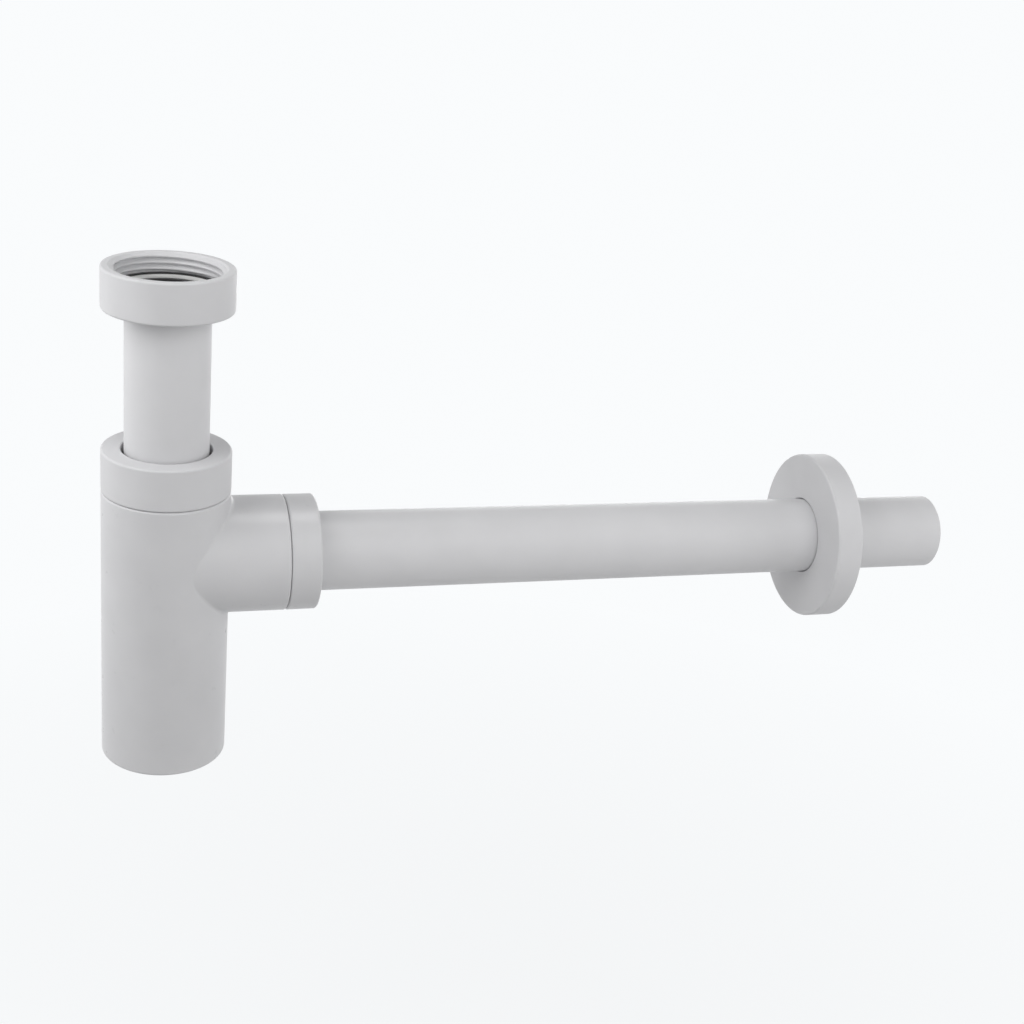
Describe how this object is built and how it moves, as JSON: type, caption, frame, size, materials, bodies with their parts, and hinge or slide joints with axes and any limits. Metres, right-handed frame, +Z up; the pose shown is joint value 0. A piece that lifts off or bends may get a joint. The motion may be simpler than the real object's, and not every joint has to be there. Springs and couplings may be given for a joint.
{
  "type": "bottle trap",
  "caption": "White washbasin bottle trap: a union nut and dip tube drop into a round bottle, whose side branch carries a straight outlet tube with a sliding wall flange.",
  "frame": {"origin": "on the bottle's axis, at the foot of the union nut's thread, where the basin waste's tail stops", "axes": "+Z up the dip tube and out of the union nut's mouth, +X along the outlet tube to the wall"},
  "size_m": [0.3619, 0.0712, 0.2011],
  "materials": {
    "white_plastic": "satin",
    "black_rubber": "matte",
    "natural_plastic": "satin"
  },
  "bodies": {
    "union": {"inlet_nut": "white_plastic"},
    "inlet": {"inlet_tube": "white_plastic", "inlet_washer": "black_rubber", "inlet_friction_ring": "natural_plastic"},
    "bottle": {"bottle_body": "white_plastic", "collar_seal": "black_rubber", "outlet_seal": "black_rubber"},
    "collar_ring": {"collar_slip_ring": "natural_plastic"},
    "collar": {"collar_nut": "white_plastic"},
    "outlet_ring": {"outlet_slip_ring": "natural_plastic"},
    "outlet_coupling": {"outlet_nut": "white_plastic"},
    "outlet_pipe": {"outlet_tube": "white_plastic"},
    "cover": {"wall_flange": "white_plastic"}
  },
  "joints": [
    {"name": "inlet_swivel", "type": "hinge", "parent": "union", "child": "inlet", "pos_m": [0, 0, 0], "axis": [0, 0, 1], "continuous": true},
    {"name": "height_slide", "type": "slide", "parent": "inlet", "child": "bottle", "axis": [0, 0, 1], "range_m": [-0.03, 0.012]},
    {"name": "collar_lift", "type": "slide", "parent": "bottle", "child": "collar_ring", "axis": [0, 0, 1], "range_m": [0, 0.00934]},
    {"name": "collar_turn", "type": "hinge", "parent": "collar_ring", "child": "collar", "pos_m": [0, 0, -0.07995], "axis": [0, 0, 1], "range_deg": [0, 1440]},
    {"name": "outlet_shift", "type": "slide", "parent": "bottle", "child": "outlet_ring", "axis": [1, 0, 0], "range_m": [0, 0.00472]},
    {"name": "outlet_turn", "type": "hinge", "parent": "outlet_ring", "child": "outlet_coupling", "pos_m": [0.046, 0, -0.1082], "axis": [1, 0, 0], "range_deg": [0, 720]},
    {"name": "outlet_slide", "type": "slide", "parent": "bottle", "child": "outlet_pipe", "axis": [1, 0, 0], "range_m": [-0.008, 0.012]},
    {"name": "flange_slide", "type": "slide", "parent": "outlet_pipe", "child": "cover", "axis": [1, 0, 0], "range_m": [-0.19, 0.04]}
  ],
  "couplings": [
    {"joint": "collar_lift", "follows": "collar_turn", "m_per_rad": 0.00036749},
    {"joint": "outlet_shift", "follows": "outlet_turn", "m_per_rad": 0.00036749}
  ]
}
